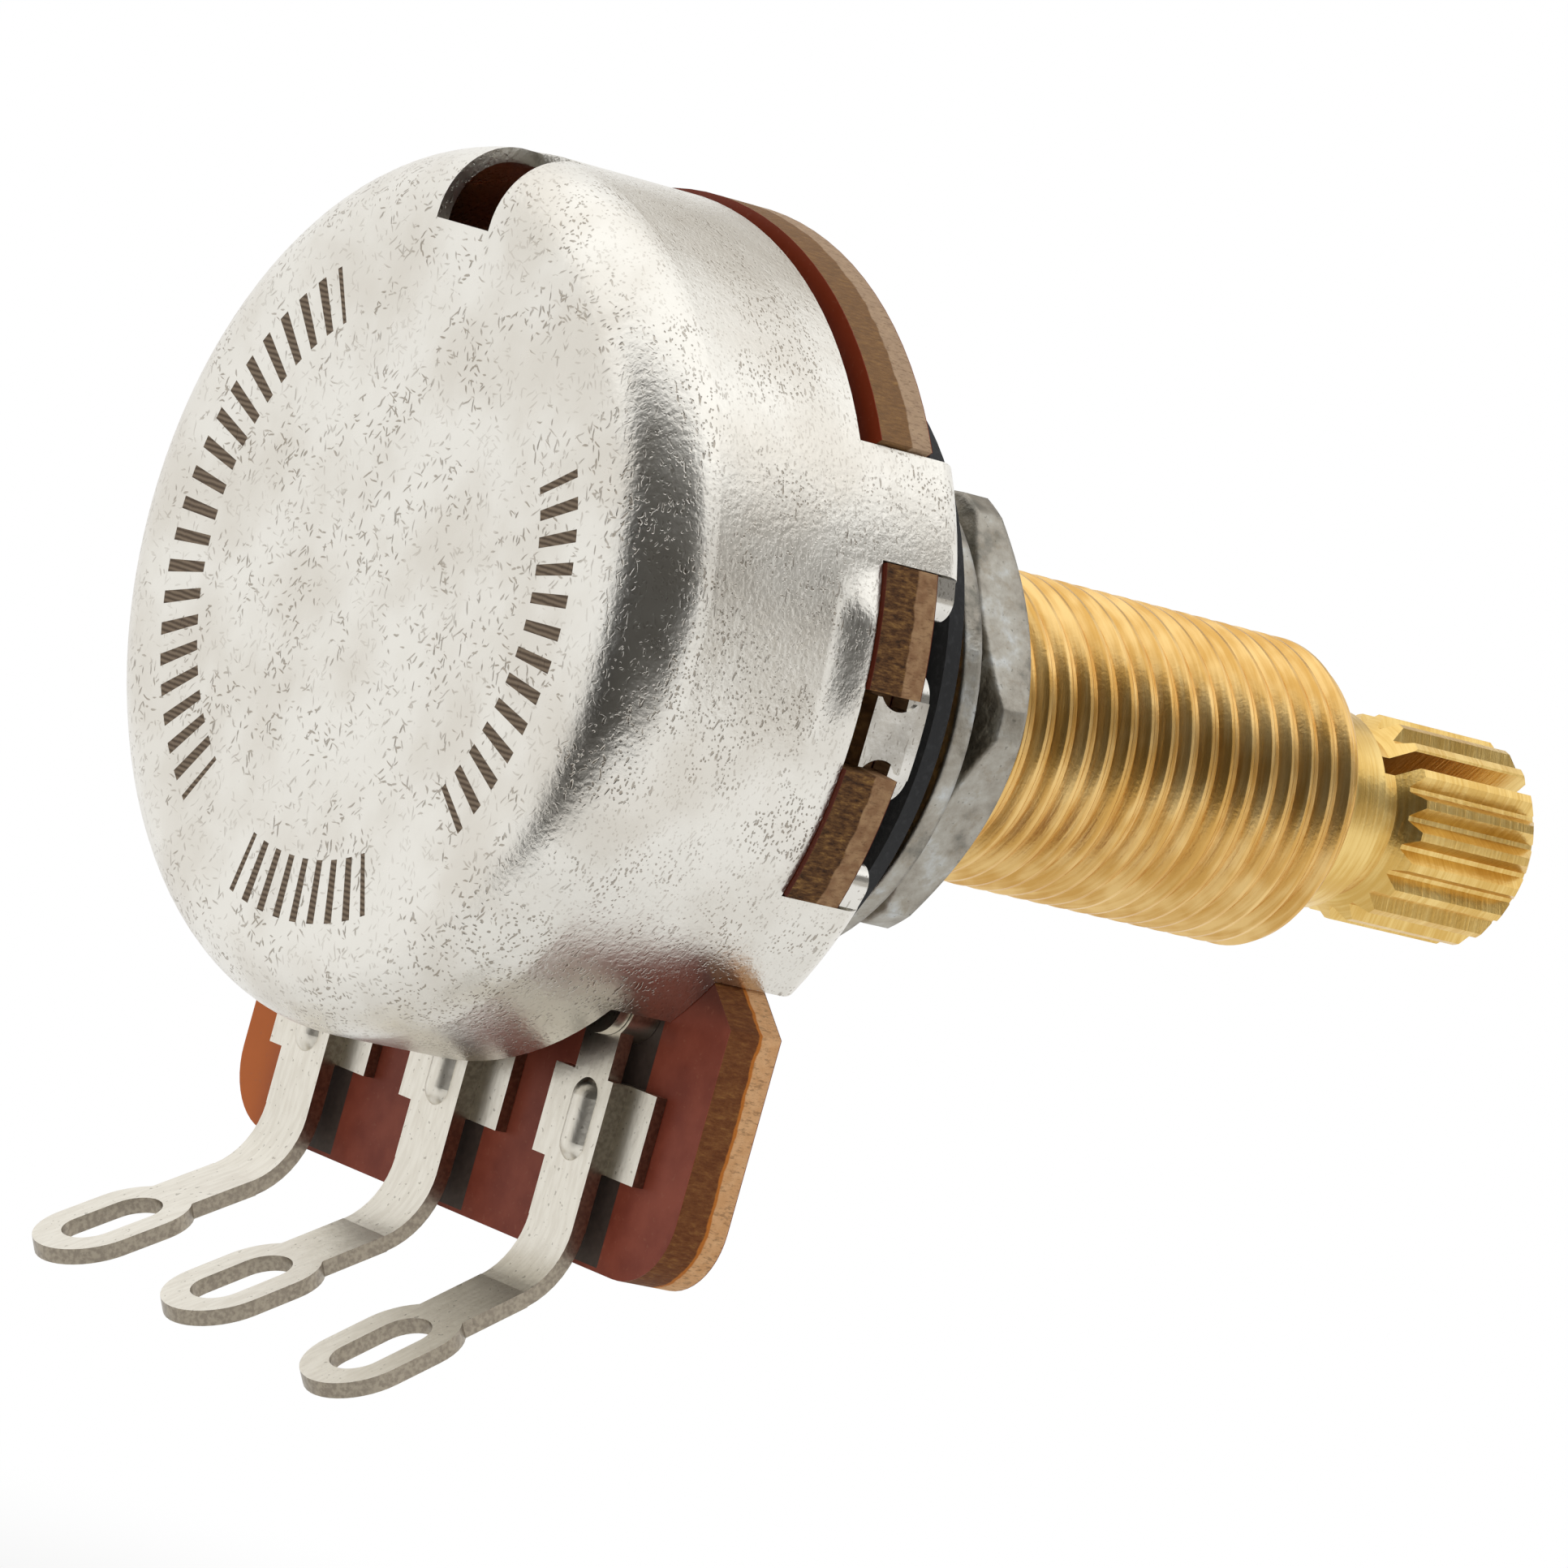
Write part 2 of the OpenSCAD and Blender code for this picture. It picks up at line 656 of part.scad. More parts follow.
// moulded rotor on the shaft's spigot, with the lug that meets the stop
module rotor() {
    play = 0.02;
    color("dimgray") along_shaft()
        difference() {
            union() {
                translate([0, 0, rotor_rear]) cylinder(r = rotor_r, h = rotor_t, $fn = round_fn);
                translate([0, 0, rotor_rear]) cylinder(r = hub_r, h = hub_front - rotor_rear, $fn = round_fn);
                rotate([0, 0, 180]) ring_arc(lug_in, lug_r, lug_rear, rotor_front, 90 - lug_half, 90 + lug_half);
            }
            intersection() {
                translate([0, 0, rotor_rear - 1]) cylinder(r = spigot_r + play, h = rotor_t + 3, $fn = round_fn);
                translate([-spigot_r - 1, -spigot_flat - play, rotor_rear - 1])
                    cube([2 * spigot_r + 2, 2 * (spigot_flat + play), rotor_t + 3]);
            }
            translate([0, 0, rotor_front + 0.25]) cylinder(r = spigot_r + play, h = 5, $fn = round_fn);
        }
}

// bent spring finger: base on the rotor, slope to the board and a turned-up tip
module finger(base_r, tip_r, tip_x, wide) {
    dir = tip_r > base_r ? 1 : -1;
    low = rotor_front + seat;
    translate([-wide / 2, 0, 0])
        rotate([90, 0, 90])
            linear_extrude(wide)
                polygon([
                    [base_r - dir * 0.6, low],
                    [base_r, low],
                    [tip_r, tip_x - wiper_t],
                    [tip_r + dir * 0.45, tip_x - wiper_t - 0.3],
                    [tip_r + dir * 0.55, tip_x - 0.25],
                    [tip_r, tip_x],
                    [base_r - dir * 0.1, low + wiper_t],
                    [base_r - dir * 0.6, low + wiper_t]
                ]);
}

// contact spring: a flat ring on the rotor, a finger on the track and two on the collector
module wiper() {
    track_x = wafer_back - seat - track_t - slide;
    ring_x = wafer_back - seat - collector_t - slide;
    color("gold") along_shaft() {
        ring(hub_r + 0.1, wiper_r, rotor_front + seat, wiper_front);
        finger(wiper_r - 0.2, track_r, track_x, 1.0);
        for (side = [-1, 1])
            rotate([0, 0, side * 100]) finger(wiper_r - 0.3, collector_r - 0.6, ring_x, 0.8);
    }
}

// black sealing washer against the mounting face
module sealing_washer() {
    color("black") along_shaft() ring(bushing_r + 0.1, seal_r, seat, seat + seal_t);
}

// plain steel washer, hanging loose on the thread
module flat_washer() {
    color("silver") along_shaft()
        translate([0, seat - washer_play, 0])
            ring(bushing_r + washer_play, washer_r, washer_x, washer_x + washer_t);
}

// hexagon nut with both faces chamfered and its corners turned off
module hex_nut() {
    corner_r = nut_flats / sqrt(3);
    face_r = nut_flats / 2 - 0.15;
    rear_bevel = 0.35;
    front_bevel = 0.6;
    color("silver") along_shaft()
        difference() {
            intersection() {
                translate([0, 0, nut_x])
                    rotate([0, 0, nut_turn]) cylinder(r = corner_r, h = nut_t, $fn = 6);
                union() {
                    translate([0, 0, nut_x])
                        cylinder(r1 = face_r, r2 = corner_r - 0.25, h = rear_bevel, $fn = round_fn);
                    translate([0, 0, nut_x + rear_bevel])
                        cylinder(r = corner_r - 0.25, h = nut_t - rear_bevel - front_bevel, $fn = round_fn);
                    translate([0, 0, nut_x + nut_t - front_bevel])
                        cylinder(r1 = corner_r - 0.25, r2 = face_r, h = front_bevel, $fn = round_fn);
                }
            }
            translate([0, 0, nut_x - 1]) cylinder(r = bushing_r + seat, h = nut_t + 2, $fn = round_fn);
        }
}

rear_cover();
wafer();
resistive_track();
collector_ring();
terminal_left();
terminal_middle();
terminal_right();
terminal_rivets();
mounting_plate();
threaded_bushing();
thrust_washer();
splined_shaft();
rotor();
wiper();
sealing_washer();
flat_washer();
hex_nut();
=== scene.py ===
import math
from functools import partial

import bmesh
import bpy
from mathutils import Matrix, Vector


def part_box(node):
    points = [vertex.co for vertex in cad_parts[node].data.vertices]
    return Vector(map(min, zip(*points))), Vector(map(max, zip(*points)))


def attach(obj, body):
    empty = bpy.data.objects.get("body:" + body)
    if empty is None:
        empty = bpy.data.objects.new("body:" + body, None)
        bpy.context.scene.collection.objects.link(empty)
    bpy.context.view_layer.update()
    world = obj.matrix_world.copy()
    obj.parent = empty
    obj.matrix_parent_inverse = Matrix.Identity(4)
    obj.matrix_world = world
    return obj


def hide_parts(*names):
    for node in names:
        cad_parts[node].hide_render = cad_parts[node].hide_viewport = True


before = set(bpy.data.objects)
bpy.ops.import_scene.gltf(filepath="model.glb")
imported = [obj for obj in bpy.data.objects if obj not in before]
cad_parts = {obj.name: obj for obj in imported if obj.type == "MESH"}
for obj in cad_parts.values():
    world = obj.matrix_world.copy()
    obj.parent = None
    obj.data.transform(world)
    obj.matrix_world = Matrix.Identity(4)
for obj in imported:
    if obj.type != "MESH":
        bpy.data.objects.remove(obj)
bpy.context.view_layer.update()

# The part is a rotary potentiometer. Its shaft axis is X, the board's tongue hangs down, and
# the origin is on the front face of the sealing washer. "Along" is X, "side" is Y and "up" is Z.
# All sizes below are in millimetres and are turned to metres by MM.
MM = 0.001

# Bushing thread: pitch, crest radius, depth, steps round one turn and shift of its start. The
# outline has one pitch of thread, as shares of the pitch and of the depth at each step.
THREAD_PITCH = 0.75
THREAD_CREST = 4.43
THREAD_DEPTH = 0.27
THREAD_STEPS = 96
THREAD_PHASE = -0.13
THREAD_OUTLINE = [
    (0.09, 0), (0.13, 0.42), (0.15, 0.50), (0.05, 0.08), (0.14, 0),
    (0.05, -0.08), (0.15, -0.50), (0.13, -0.42), (0.11, 0),
]

# Bushing body: thickness of its rear flange, chamfer of its front end, radius of the bore and
# of the closing rim inside it, and chamfer of the bore's mouth
FLANGE_T = 0.5
FRONT_CHAMFER = 0.4
BORE_R = 3.02
CLOSING_R = 3.03
MOUTH_CHAMFER = 0.15

# Points closer than these are made one, in metres: on the swept thread, on the cut tube and on
# the closed bushing. Edges that turn by less than these angles, in degrees, look smooth.
SWEEP_WELD = 1e-7
TUBE_WELD = 1e-6
CLOSING_WELD = 2e-6
BUSHING_SMOOTH = 28
SHOULDER_SMOOTH = 30

# Shoulders of the mounting plate beside the can's tabs: sheet, radii, rounding of the free
# corner, gap to the board's front face, and the angle beside the tab and at the free end
SHOULDER_T = 0.7
SHOULDER_IN = 11.37
SHOULDER_OUT = 12.0
SHOULDER_ROUND = 0.58
SHOULDER_GAP = 0.02
SHOULDER_ENDS = [(160.0, 165.0), (203.9, 198.9), (20.0, 15.0), (-23.9, -18.9)]

# Scale strokes on the can's rear face. Each arc has its middle angle, half span, inner and
# outer radius and step. MARK_SHARE is half a stroke's width as a share of the step, and only
# what lies behind MARK_PLANE is marked. SAW_SHIFT is a whole number that keeps the count of
# steps above 0, and a half that puts a stroke on the arc's middle.
MARK_ARCS = [
    (2.0, 56.0, 7.35, 9.0, 5.6),
    (184.5, 34.0, 7.35, 8.9, 5.6),
    (-96.0, 19.5, 7.6, 9.3, 4.8),
]
MARK_SHARE = 0.20
MARK_PLANE = -12.4
SAW_SHIFT = 100.5

# The can's window between its two camera-side tabs: where its edge is along X, how high the
# bend in that edge starts and ends, how far back it reaches and how much it leans
WINDOW_EDGE = -5.15
WINDOW_BOTTOM = (-2.6, 0.6)
WINDOW_TOP = (4.1, 2.4)
WINDOW_REACH = (WINDOW_EDGE - 1.5, WINDOW_EDGE + 0.3)
WINDOW_LEAN = 22.0

# Terminals: the way the eyelets' flat faces look, the way they run out, and how far out along
# it the eyelets begin
EYELET_FACE = (0.485, 0.0, -0.875)
EYELET_RUN = (-0.875, 0.0, -0.485)
EYELET_START = (15.0, 15.4)

# Board: depth within which a surface counts as its face, share of its thickness that is torn,
# how the torn part fades to the smooth one, the orange line between them and the line's fade,
# and the fades up, sideways and outwards of the board's tones, its painted glow and the
# painted shade round its rim
BOARD_SKIN = 0.02
TORN_SHARE = 0.60
SPLIT_FADE = (0.09, 0.16)
SPLIT_LINE = 0.12
LINE_FADE = (0.03, 0.08)
TONGUE_FADE = (-6.8, -7.6)
CROWN_FADE = (4.8, 5.8)
PAINTED_GLOW_FADE = (7.2, 9.6)
RIM_SHADE_REACH_FADE = (11.3, 11.8)
RIM_SHADE_FOOT_FADE = (-9.0, -8.0)
RIM_SHADE_TONE_FADE = (5.2, 6.4)

# Ink pads on the board's rear face: middle across, half width, bottom and top
INK_PADS = [
    (6.2, 1.1, -15.86, -11.0),
    (-0.15, 1.1, -15.86, -9.4),
    (-6.5, 1.1, -15.86, -8.6),
]

# Studio, in metres and watts. Lamps: place, size and power.
FLOOR_SIZE = 4.0
FLOOR_HEIGHT = -0.034
FLOOR_FADE = (0.01, 0.06)
LAMP_AIM = (0.004, 0, 0)
LAMPS = [
    ("key_lamp", (-0.10, -0.05, 0.28), (0.80, 0.80), 0.46),
    ("side_lamp", (0.22, -0.20, 0.10), (0.36, 0.44), 0.06),
]

# Cards for the metal to mirror: distance from the origin, brightness, and the azimuth and
# elevation of each corner in degrees
CARDS = [
    ("lens_side_card", 0.17, 0.07,
     [(172, -56), (198, -52), (216, -42), (242, -27), (264, -8), (284, 16),
      (278, 36), (262, 50), (218, 50), (184, 40), (175, 16)]),
    ("lens_edge_card", 0.15, 0.02,
     [(172, -54), (192, -50), (198, 0), (201, 36), (190, 38), (177, 22)]),
    ("lens_rim_card", 0.15, 0.05,
     [(248, -8), (262, -2), (284, 17), (279, 36), (264, 50), (258, 46), (268, 32), (272, 18)]),
    ("far_upper_card", 0.15, 0.2,
     [(300, 13), (326, 12), (335, 22), (327, 34), (301, 34)]),
    ("lens_low_card", 0.062, 0.06,
     [(183, -30), (200, -28), (227, -19), (233, -8), (214, -8), (194, -13), (184, -19)]),
    ("sky_card", 0.17, 0.55,
     [(20, 44), (26, 28), (50, 18), (57, 32), (44, 46), (28, 54)]),
    ("far_side_card", 0.17, 0.5,
     [(300, -6), (322, -4), (330, 22), (316, 34), (300, 30)]),
]

# Camera fitted to the part's outline: place in metres, turn in degrees and focal length
CAMERA_PLACE = (-0.1667647, -0.2142984, 0.0114057)
CAMERA_TURN = (86.9055, -15.5454, -37.4875)
CAMERA_LENS = 230.1464

# Scratches are strokes in a cell each: a stroke's width and length as a share of the cell's,
# and the distances from the cell's middle over which its edge fades
STROKE_SHARE = 0.37
STROKE_FADE = (0.13, 0.24)

# Settings that many nodes share: a soft step from 0 to 1, and a mix of two colours
SOFT_STEP = {"interpolation_type": "SMOOTHSTEP"}
COLOURS = {"data_type": "RGBA", "out": 2}


def linear(code):
    """An sRGB hex colour as linear values for a shader socket."""
    channels = [int(code[i : i + 2], 16) / 255 for i in (1, 3, 5)]
    bent = [c / 12.92 if c <= 0.04045 else ((c + 0.055) / 1.055) ** 2.4 for c in channels]
    return (*bent, 1.0)


def add_node(tree, kind, inputs=(), stops=(), out=0, **settings):
    """Adds a shader node with its settings, values, links and ramp stops, and returns an output.

    inputs are given in order or by socket, and each is a value, a hex colour or a link.
    """
    node = tree.nodes.new("ShaderNode" + kind)
    for name, value in settings.items():
        setattr(node, name, value)
    for socket, value in inputs.items() if isinstance(inputs, dict) else enumerate(inputs):
        if isinstance(value, bpy.types.NodeSocket):
            tree.links.new(value, node.inputs[socket])
        else:
            node.inputs[socket].default_value = linear(value) if isinstance(value, str) else value
    if stops:
        ramp = node.color_ramp
        while len(ramp.elements) < len(stops):
            ramp.elements.new(0.5)
        for element, (place, colour) in zip(ramp.elements, stops):
            element.position = place
            element.color = linear(colour)
    return node.outputs[out] if node.outputs else None


def start_nodes(owner):
    """Clears the nodes of a material or world, and returns add_node for its tree."""
    owner.use_nodes = True
    owner.node_tree.nodes.clear()
    return partial(add_node, owner.node_tree)


def start_material(name):
    """A new material, add_node for it, and the object's own coordinates in millimetres."""
    material = bpy.data.materials.new(name)
    add = start_nodes(material)
    place = add("TexCoord", out="Object")
    return material, add, add("VectorMath", {0: place, "Scale": 1 / MM}, operation="SCALE")


def from_axis(add, side, up):
    """Distance from the shaft's axis."""
    squares = [add("Math", (value, value), operation="MULTIPLY") for value in (side, up)]
    return add("Math", (add("Math", squares, operation="ADD"),), operation="SQRT")


def hair_lines(add, place, length, width, turns, share):
    """Short fine scratches, length by width in millimetres, one layer for each turn about X.

    The strokes stray by about half their length, and share is how many of the cells have one.
    """
    bent = add("TexNoise", {"Vector": place, "Scale": 0.8 / length, "Detail": 1.0}, out="Color")
    shift = add("VectorMath", {0: bent, "Scale": length * 0.6}, operation="SCALE")
    place = add("VectorMath", (place, shift), operation="ADD")
    lines = 0.0
    for turn in turns:
        turned = add("Mapping", {
            "Vector": place, "Rotation": (math.radians(turn), 0.0, 0.0),
            "Scale": (width / STROKE_SHARE, length / STROKE_SHARE, width / STROKE_SHARE)},
            vector_type="TEXTURE")
        distance = add("TexVoronoi", {"Vector": turned, "Scale": 1.0, "Randomness": 1.0})
        chance = add("SeparateColor", (distance.node.outputs["Color"],))
        kept = add("MapRange", (chance, 1 - share, 1.02 - share), **SOFT_STEP)
        outside = add("MapRange", (distance, *STROKE_FADE), **SOFT_STEP)
        stroke = add("Math", (1.0, outside), operation="SUBTRACT")
        layer = add("Math", (stroke, kept), operation="MULTIPLY")
        lines = add("Math", (lines, layer), operation="MAXIMUM")
    return lines


# Materials: what each one is, and what that gives the eye

# A noise's scale is one over the size of its spots, and a bump's distance is the depth of its
# relief.


def satin_plated_steel():
    # Nickel-plated deep-drawn steel: warm white metal, satin from the press, with short brown
    # handling scratches and a faint cloudy tone. The real scratches are finer than the render
    # can show, so they are drawn at 0.05 mm. The rear face carries burnt-in scale strokes.
    material, add, place = start_material("satin_plated_steel")
    along, side, up = add("SeparateXYZ", (place,)).node.outputs

    cloud = add("TexNoise", {"Vector": place, "Scale": 1 / 3.0, "Detail": 3.0})
    cloud = add("MapRange", (cloud, 0.35, 0.7), **SOFT_STEP)
    metal = add("Mix", {0: cloud, 6: "#ebe8e0", 7: "#ded9cf"}, **COLOURS)
    scratches = add("Math", (
        hair_lines(add, place, 0.42, 0.050, (15, 75, 135), 0.7),
        hair_lines(add, place, 0.24, 0.060, (50, 110, 170), 0.7)), operation="MAXIMUM")
    crowd = add("TexNoise", {"Vector": place, "Scale": 1 / 1.8, "Detail": 3.0})
    crowd = add("MapRange", (crowd, 0.42, 0.62), **SOFT_STEP)
    crowd = add("Math", (crowd, 0.7, 0.3), operation="MULTIPLY_ADD")
    wear = add("Math", (scratches, crowd), operation="MULTIPLY")
    wear_share = add("Math", (wear, 0.58), operation="MULTIPLY")
    worn = add("Mix", {0: wear_share, 6: metal, 7: "#66502f"}, **COLOURS)

    # burnt-in scale strokes across three arcs of the rear face
    radius = from_axis(add, side, up)
    turn = add("Math", (up, side), operation="ARCTAN2")
    marks = 0.0
    for middle, half, inner, outer, step in MARK_ARCS:
        away = add("Math", (turn, math.radians(middle)), operation="SUBTRACT")
        away = add("Math", (away, math.pi, -math.pi), operation="WRAP")
        offset = add("Math", (away,), operation="ABSOLUTE")
        inside = add("Math", (offset, math.radians(half)), operation="LESS_THAN")
        saw = add("Math", (away, math.radians(step)), operation="DIVIDE")
        saw = add("Math", (saw, SAW_SHIFT), operation="ADD")
        saw = add("Math", (saw,), operation="FRACT")
        saw = add("Math", (saw, 0.5), operation="SUBTRACT")
        saw = add("Math", (saw,), operation="ABSOLUTE")
        stroke = add("Math", (saw, MARK_SHARE), operation="LESS_THAN")
        past = add("Math", (radius, inner), operation="GREATER_THAN")
        short = add("Math", (radius, outer), operation="LESS_THAN")
        band = add("Math", (past, short), operation="MULTIPLY")
        arc = add("Math", (inside, stroke), operation="MULTIPLY")
        arc = add("Math", (arc, band), operation="MULTIPLY")
        marks = add("Math", (marks, arc), operation="MAXIMUM")
    on_face = add("Math", (along, MARK_PLANE), operation="LESS_THAN")
    marks = add("Math", (marks, on_face), operation="MULTIPLY")
    hatch = add("TexWave", {"Vector": place, "Scale": 2.2, "Distortion": 1.5}, out="Fac",
                bands_direction="Z")
    burnt = add("Mix", {0: hatch, 6: "#5d4f42", 7: "#8a7a68"}, **COLOURS)

    dull = add("TexNoise", {"Vector": place, "Scale": 1 / 0.8, "Detail": 3.0})
    dull = add("Math", (dull, 0.16, 0.22), operation="MULTIPLY_ADD")
    burnt_dull = add("Math", (marks, 0.55), operation="MULTIPLY")

    # relief: satin grain, shallow scratches and strokes, and the window's bent edge
    satin = add("TexNoise", {"Vector": place, "Scale": 1 / 0.17})
    satin = add("Math", (satin, 0.7), operation="MULTIPLY")
    scored = add("Math", (wear, 0.5), operation="MULTIPLY")
    height = add("Math", (satin, scored), operation="SUBTRACT")
    sunk = add("Math", (marks, 0.8), operation="MULTIPLY")
    height = add("Math", (height, sunk), operation="SUBTRACT")
    near_side = add("Math", (side, 0.0), operation="LESS_THAN")
    upper = add("MapRange", (up, *WINDOW_TOP), **SOFT_STEP)
    lower = add("MapRange", (up, *WINDOW_BOTTOM), **SOFT_STEP)
    window = add("Math", (upper, near_side), operation="MULTIPLY")
    window = add("Math", (lower, window), operation="MULTIPLY")
    edge = add("MapRange", (along, *WINDOW_REACH), **SOFT_STEP)
    flared = add("Math", (window, edge), operation="MULTIPLY")
    flared = add("Math", (flared, WINDOW_LEAN), operation="MULTIPLY")
    height = add("Math", (height, flared), operation="ADD")
    surface = add("BsdfPrincipled", {
        "Base Color": add("Mix", {0: marks, 6: worn, 7: burnt}, **COLOURS),
        "Metallic": 1.0,
        "Roughness": add("Math", (dull, burnt_dull), operation="MAXIMUM"),
        "Normal": add("Bump", {"Height": height, "Strength": 1.0, "Distance": 0.02 * MM})})
    add("OutputMaterial", {"Surface": surface})
    return material


def bright_plated_steel():
    # Nickel-plated strip, blanked and bent: brighter than the can, with softly rippled sheen.
    material, add, place = start_material("bright_plated_steel")
    cloud = add("TexNoise", {"Vector": place, "Scale": 1 / 1.2})
    cloud = add("MapRange", (cloud, 0.3, 0.75), **SOFT_STEP)
    metal = add("Mix", {0: cloud, 6: "#e2dfd8", 7: "#c4c1ba"}, **COLOURS)
    lines = hair_lines(add, place, 0.4, 0.05, (30, 100), 0.7)
    lines = add("Math", (lines, 0.45), operation="MULTIPLY")
    ripple = add("TexNoise", {"Vector": place, "Scale": 1 / 0.5, "Detail": 3.0})
    surface = add("BsdfPrincipled", {
        "Base Color": add("Mix", {0: lines, 6: metal, 7: "#7d7466"}, **COLOURS),
        "Metallic": 1.0,
        "Roughness": 0.2,
        "Normal": add("Bump", {"Height": ripple, "Strength": 1.0, "Distance": 0.012 * MM})})
    add("OutputMaterial", {"Surface": surface})
    return material


def silvered_terminal():
    # Silver-plated brass strip, die-cut: warm white with a faint lengthwise rolling grain and
    # darker sheared edges.
    material, add, place = start_material("silvered_terminal")
    stretched = add("Mapping", {"Vector": place, "Scale": (1.0, 5.0, 1.0)})
    rolled = add("TexNoise", {"Vector": stretched, "Scale": 1 / 0.7})
    tone = add("MapRange", (rolled, 0.3, 0.7), **SOFT_STEP)
    metal = add("Mix", {0: tone, 6: "#e8e3d7", 7: "#ded8cb"}, **COLOURS)

    # the sheared edges: the sides of the strip, and the rims of the eyelet and of its hole
    facing = add("TexCoord", out="Normal")
    sideways = add("SeparateXYZ", (facing,), out=1)
    sideways = add("Math", (sideways,), operation="ABSOLUTE")
    sideways = add("MapRange", (sideways, 0.87, 0.95), **SOFT_STEP)
    flat = add("VectorMath", (facing, EYELET_FACE), out="Value", operation="DOT_PRODUCT")
    flat = add("Math", (flat,), operation="ABSOLUTE")
    rim = add("MapRange", (flat, 0.8, 0.5), **SOFT_STEP)
    reach = add("VectorMath", (place, EYELET_RUN), out="Value", operation="DOT_PRODUCT")
    reach = add("MapRange", (reach, *EYELET_START), **SOFT_STEP)
    rim = add("Math", (reach, rim), operation="MULTIPLY")
    sheared = add("Math", (sideways, rim), operation="MAXIMUM")
    torn = add("TexNoise", {"Vector": place, "Scale": 1 / 0.12, "Detail": 3.0})
    torn = add("MapRange", (torn, 0.35, 0.65), **SOFT_STEP)
    torn = add("Mix", {0: torn, 6: "#aaa08f", 7: "#92887a"}, **COLOURS)
    metal = add("Mix", {0: sheared, 6: metal, 7: torn}, **COLOURS)

    pits = add("TexNoise", {"Vector": place, "Scale": 1 / 0.14, "Detail": 1.0})
    pits = add("MapRange", (pits, 0.68, 0.76), **SOFT_STEP)
    pits = add("Math", (pits, 0.5), operation="MULTIPLY")
    lengthwise = add("Math", (rolled, 0.5), operation="MULTIPLY")
    rough_skin = add("TexNoise", {"Vector": place, "Scale": 1 / 0.18})
    height = add("Math", (lengthwise, rough_skin), operation="ADD")
    surface = add("BsdfPrincipled", {
        "Base Color": add("Mix", {0: pits, 6: metal, 7: "#7b7264"}, **COLOURS),
        "Metallic": 1.0,
        "Roughness": 0.35,
        "Normal": add("Bump", {"Height": height, "Strength": 1.0, "Distance": 0.006 * MM})})
    add("OutputMaterial", {"Surface": surface})
    return material


